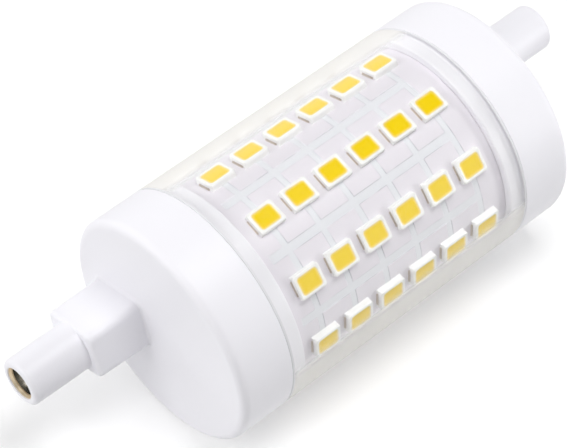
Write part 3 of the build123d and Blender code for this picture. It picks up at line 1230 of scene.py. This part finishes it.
@dataclass
class LedArray:
    """The LED packages, set round the board by Geometry Nodes.

    Attributes:
        sizes: Stations and radii of the bulb.
        board: Board that carries them.
        package: The package that is repeated.
        skew_degrees: How far a package may sit turned on the board.
    """

    sizes: BulbSizes
    board: LedBoard
    package: LedPackage = field(default_factory=LedPackage)
    skew_degrees: float = 0.9
    seed: int = 7

    def tree(self) -> Tree:
        """Build the tree that sets a unit round the board, row by row.

        Returns:
            The tree, with named inputs.
        """
        tree = bpy.data.node_groups.new("LedRows", "GeometryNodeTree")
        inputs = {
            "Object": ("Unit",),
            "Int": ("Rows", "Per Row", "Seed"),
            "Float": ("Pitch", "Radius", "First Turn", "Row Turn", "Skew"),
            "Material": ("Material",),
        }
        for kind, names in inputs.items():
            for name in names:
                tree.interface.new_socket(name, in_out="INPUT", socket_type=f"NodeSocket{kind}")
        tree.interface.new_socket("Geometry", in_out="OUTPUT", socket_type="NodeSocketGeometry")
        given = node(tree, "NodeGroupInput").outputs
        per_row, skew = given["Per Row"], given["Skew"]
        number = "ShaderNodeMath"
        vector = "ShaderNodeCombineXYZ"
        index = node(tree, "GeometryNodeInputIndex")
        column = node(tree, number, {0: index, 1: per_row}, operation="MODULO")
        share = node(tree, number, {0: index, 1: per_row}, operation="DIVIDE")
        row = node(tree, number, {0: share}, operation="FLOOR")
        last = node(tree, number, {0: per_row, 1: 1.0}, operation="SUBTRACT")
        middle = node(tree, number, {0: last, 1: 0.5}, operation="MULTIPLY")
        place = node(tree, number, {0: column, 1: middle}, operation="SUBTRACT")
        along = node(tree, number, {0: place, 1: given["Pitch"]}, operation="MULTIPLY")
        turned = {0: row, 1: given["Row Turn"], 2: given["First Turn"]}
        turn = node(tree, number, turned, operation="MULTIPLY_ADD")
        cos, sin = [node(tree, number, {0: turn}, operation=name) for name in ("COSINE", "SINE")]
        out = node(tree, vector, {1: cos, 2: sin})
        reach = node(tree, "ShaderNodeVectorMath", {0: out, 3: given["Radius"]}, operation="SCALE")
        spot = {0: reach, 1: node(tree, vector, {0: along})}
        position = node(tree, "ShaderNodeVectorMath", spot, operation="ADD")
        count = node(tree, number, {0: given["Rows"], 1: per_row}, operation="MULTIPLY")
        points = node(tree, "GeometryNodePoints", {"Count": count, "Position": position})
        lean = node(tree, number, {0: turn, 1: math.pi / 2}, operation="SUBTRACT")
        facing = node(tree, "FunctionNodeEulerToRotation", {0: node(tree, vector, {0: lean})})
        least = node(tree, number, {0: skew, 1: -1.0}, operation="MULTIPLY")
        chance = {2: least, 3: skew, "Seed": given["Seed"]}
        twist = node(tree, "FunctionNodeRandomValue", chance, data_type="FLOAT").outputs[1]
        twisted = node(tree, "FunctionNodeEulerToRotation", {0: node(tree, vector, {2: twist})})
        rotation = node(tree, "FunctionNodeRotateRotation", {0: facing, 1: twisted}, rotation_space="LOCAL")
        unit = node(tree, "GeometryNodeObjectInfo", {"Object": given["Unit"]}).outputs["Geometry"]
        spread = {"Points": points, "Instance": unit, "Rotation": rotation}
        placed = node(tree, "GeometryNodeInstanceOnPoints", spread)
        real = node(tree, "GeometryNodeRealizeInstances", {"Geometry": placed})
        dressed = node(tree, "GeometryNodeSetMaterial", {"Geometry": real, "Material": given["Material"]})
        node(tree, "NodeGroupOutput", {"Geometry": dressed})
        return tree

    def spread(self, tree: Tree, unit_mesh: Mesh, material: Material) -> Mesh:
        """Set a unit round the board and turn the result into a plain mesh.

        Args:
            tree: The tree that sets it.
            unit_mesh: The unit at the origin.
            material: Material of the result.

        Returns:
            The mesh of all the copies.
        """
        unit = bpy.data.objects.new("unit", unit_mesh)
        carrier = bpy.data.objects.new("carrier", bpy.data.meshes.new("carrier"))
        for thing in (unit, carrier):
            bpy.context.scene.collection.objects.link(thing)
        columns, turns = self.board.columns(), self.sizes.row_turns
        values = {
            "Unit": unit,
            "Rows": len(turns),
            "Per Row": len(columns),
            "Pitch": (columns[1] - columns[0]) * MM,
            "Radius": self.sizes.board_radius * MM,
            "First Turn": turns[0],
            "Row Turn": 2 * math.pi / len(turns),
            "Skew": math.radians(self.skew_degrees),
            "Seed": self.seed,
            "Material": material,
        }
        modifier = carrier.modifiers.new("LedRows", "NODES")
        modifier.node_group = tree
        for item in tree.interface.items_tree:
            if item.in_out == "INPUT":
                modifier[item.identifier] = values[item.name]
        depsgraph = bpy.context.evaluated_depsgraph_get()
        mesh = bpy.data.meshes.new_from_object(carrier.evaluated_get(depsgraph))
        bpy.data.objects.remove(carrier)
        bpy.data.objects.remove(unit)
        return mesh

    def build(self, materials: dict[Row, Material]) -> None:
        """Make the housings, the phosphor and the leads of all packages.

        Args:
            materials: Material of each kind of piece.
        """
        tree = self.tree()
        units = {
            Row.HOUSING: (self.package.housing(), "resin_led_housings", "led_resin"),
            Row.PHOSPHOR: (self.package.window(), "cast_led_phosphor", "phosphor"),
            Row.TERMINAL: (self.package.leads(), "soldered_led_leads", "terminal"),
        }
        for kind, (unit, name, slot) in units.items():
            mesh = self.spread(tree, unit, materials[kind])
            add_piece(name, mesh, [materials[kind]], row_nodes(kind))


@dataclass(frozen=True)
class Lamp:
    """A round soft lamp that looks at the bulb.

    Attributes:
        name: Name of the lamp.
        place: Where it hangs.
        size: Its diameter.
        power: Its power in watts.
    """

    name: str
    place: tuple[float, float, float]
    size: float
    power: float

    def build(self) -> None:
        """Hang the lamp."""
        data = bpy.data.lights.new(self.name, "AREA")
        data.shape = "DISK"
        data.size = self.size * MM
        data.energy = self.power
        lamp = bpy.data.objects.new(self.name, data)
        lamp.location = Vector(self.place) * MM
        lamp.rotation_euler = (-lamp.location).to_track_quat("-Z", "Y").to_euler()
        bpy.context.scene.collection.objects.link(lamp)


@dataclass
class Studio:
    """Floor, lamps, surroundings and camera.

    Attributes:
        floor_level: Level that the bulb lies on.
        floor_glow: Glow that whitens the floor where it is seen straight.
        floor_glow_gloss: The same in gloss.
        floor_glow_behind: The same through the tube.
        roof_from: Height of a direction at which the tent's walls start to turn into its roof.
        roof_to: Height at which the roof begins.
    """

    floor_level: float
    floor_size: float = 6000.0
    floor_colour: str = "#E6E6E6"
    floor_glow: float = 0.35
    floor_glow_gloss: float = 0.35
    floor_glow_behind: float = 0.2
    gloss_roof: float = 0.04
    back_left_light: float = 1.42
    back_right_light: float = 0.5
    front_right_light: float = 0.18
    roof_light: float = 0.19
    roof_from: float = 0.3
    roof_to: float = 0.75
    lamps: tuple[Lamp, ...] = (
        Lamp("soft_box", (20.0, -40.0, 250.0), 120.0, 0.295),
        Lamp("left_soft_box", (-350.0, 60.0, 300.0), 300.0, 0.62),
        Lamp("right_soft_box", (220.0, -60.0, 220.0), 140.0, 0.08),
        Lamp("low_fill", (230.0, -200.0, 60.0), 100.0, 0.24),
    )
    camera_place: tuple[float, float, float] = (-132.4, -140.5, 239.3)
    camera_aim: tuple[float, float, float] = (-3.92, 2.61, -0.64)
    lens: float = 175.23
    sensor: float = 36.0
    nearest_view: float = 10.0

    def build_floor(self) -> None:
        """Lay a pale floor that looks white and keeps the shadow."""
        half = self.floor_size / 2 * MM
        corners = [(-half, -half), (half, -half), (half, half), (-half, half)]
        mesh = bpy.data.meshes.new("floor")
        mesh.from_pydata([(x, y, self.floor_level * MM) for x, y in corners], [], [(0, 1, 2, 3)])
        material = bpy.data.materials.new("pale paper floor")
        material.use_nodes = True
        tree = material.node_tree
        tree.nodes.clear()
        path = node(tree, "ShaderNodeLightPath").outputs
        glows = {
            "Is Camera Ray": self.floor_glow,
            "Is Glossy Ray": self.floor_glow_gloss,
            "Is Transmission Ray": self.floor_glow_behind,
        }
        strength = 0.0
        for ray, glow in glows.items():
            strength = node(tree, "ShaderNodeMix", {0: path[ray], 2: strength, 3: glow})
        paper = node(tree, "ShaderNodeBsdfDiffuse", {"Color": linear(self.floor_colour)})
        both = {0: paper, 1: node(tree, "ShaderNodeEmission", {"Strength": strength})}
        node(tree, "ShaderNodeOutputMaterial", {"Surface": node(tree, "ShaderNodeAddShader", both)})
        mesh.materials.append(material)
        floor = bpy.data.objects.new("floor", mesh)
        bpy.context.scene.collection.objects.link(floor)

    def build_surroundings(self) -> None:
        """Make a light tent: its walls brightest at the back left, its roof dim.

        Where it is seen, straight or in gloss, its walls are white all round and its roof is dark.
        """
        world = bpy.data.worlds.new("tent")
        bpy.context.scene.world = world
        world.use_nodes = True
        tree = world.node_tree
        tree.nodes.clear()
        number, change = "ShaderNodeMath", "ShaderNodeMapRange"
        direction = node(tree, "ShaderNodeTexCoord").outputs["Generated"]
        way = node(tree, "ShaderNodeSeparateXYZ", {0: direction}).outputs
        level = {0: way["Y"], 1: way["X"]}
        across, along = [node(tree, number, level, operation=name) for name in ("SUBTRACT", "ADD")]
        reach = math.sqrt(2)
        corners = (
            (across, reach, self.back_left_light),
            (along, reach, self.back_right_light),
            (across, -reach, self.front_right_light),
        )
        walls = 0.0
        for value, end, light in corners:
            corner = node(tree, change, {"Value": value, 1: 0.0, 2: end, 3: 0.0, 4: light})
            walls = node(tree, number, {0: corner, 1: walls}, operation="ADD")
        height = {"Value": way["Z"], 1: self.roof_from, 2: self.roof_to}
        rise = node(tree, change, height, interpolation_type="SMOOTHSTEP")
        cloths = []
        for wall, roof in ((walls, self.roof_light), (1.0, self.gloss_roof)):
            strength = node(tree, "ShaderNodeMix", {0: rise, 2: wall, 3: roof})
            cloth = {"Color": linear("#FFFFFF"), "Strength": strength}
            cloths.append(node(tree, "ShaderNodeBackground", cloth))
        path = node(tree, "ShaderNodeLightPath").outputs
        seen = 0.0
        for ray in ("Is Camera Ray", "Is Glossy Ray", "Is Transmission Ray"):
            seen = node(tree, number, {0: path[ray], 1: seen}, operation="MAXIMUM")
        mixed = node(tree, "ShaderNodeMixShader", {0: seen, 1: cloths[0], 2: cloths[1]})
        node(tree, "ShaderNodeOutputWorld", {"Surface": mixed})

    def build_camera(self) -> None:
        """Set the camera at the photograph's viewing angle."""
        data = bpy.data.cameras.new("camera")
        data.sensor_width = self.sensor
        data.lens = self.lens
        data.clip_start = self.nearest_view * MM
        camera = bpy.data.objects.new("camera", data)
        camera.location = Vector(self.camera_place) * MM
        aim = Vector(self.camera_aim) * MM - camera.location
        camera.rotation_euler = aim.to_track_quat("-Z", "Y").to_euler()
        bpy.context.scene.collection.objects.link(camera)
        bpy.context.scene.camera = camera

    def build(self) -> None:
        """Make the whole studio."""
        self.build_floor()
        self.build_surroundings()
        for lamp in self.lamps:
            lamp.build()
        self.build_camera()
        bpy.context.scene.view_settings.view_transform = "Standard"


def dress_driver(nodes: dict[str, Piece]) -> None:
    """Give the driver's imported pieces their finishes.

    Args:
        nodes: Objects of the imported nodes, by name.
    """
    for name, finish in DRIVER_FINISHES.items():
        piece = nodes[name]
        piece.data.materials.clear()
        piece.data.materials.append(finish.material())
        LOG.info("%s: %s", name, finish.name)


def main() -> None:
    """Build the bulb's pieces in order, then the studio."""
    logging.basicConfig(level=logging.INFO, format="%(name)s %(message)s")
    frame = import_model()
    sizes = BulbSizes.from_frame()
    plastic, brass, nickel = [finish.material() for finish in (CAP_PLASTIC, BRASS, NICKEL)]
    for side in Side:
        EndCap(side, sizes).build(plastic)
        contact = Contact(side, sizes)
        contact.build_sleeve(brass, nickel)
        contact.build_pin(nickel)
    ClearTube(sizes).build(TUBE_PLASTIC.material(), TUBE_END.material())
    board = LedBoard(sizes)
    board.build(BOARD_MASK.material())
    finishes = {Row.HOUSING: LED_RESIN, Row.PHOSPHOR: PHOSPHOR, Row.TERMINAL: TINNED}
    LedArray(sizes, board).build({kind: finish.material() for kind, finish in finishes.items()})
    dress_driver(frame["nodes"])
    Studio(floor_level=-sizes.body_radius).build()


if __name__ == "__main__":
    main()
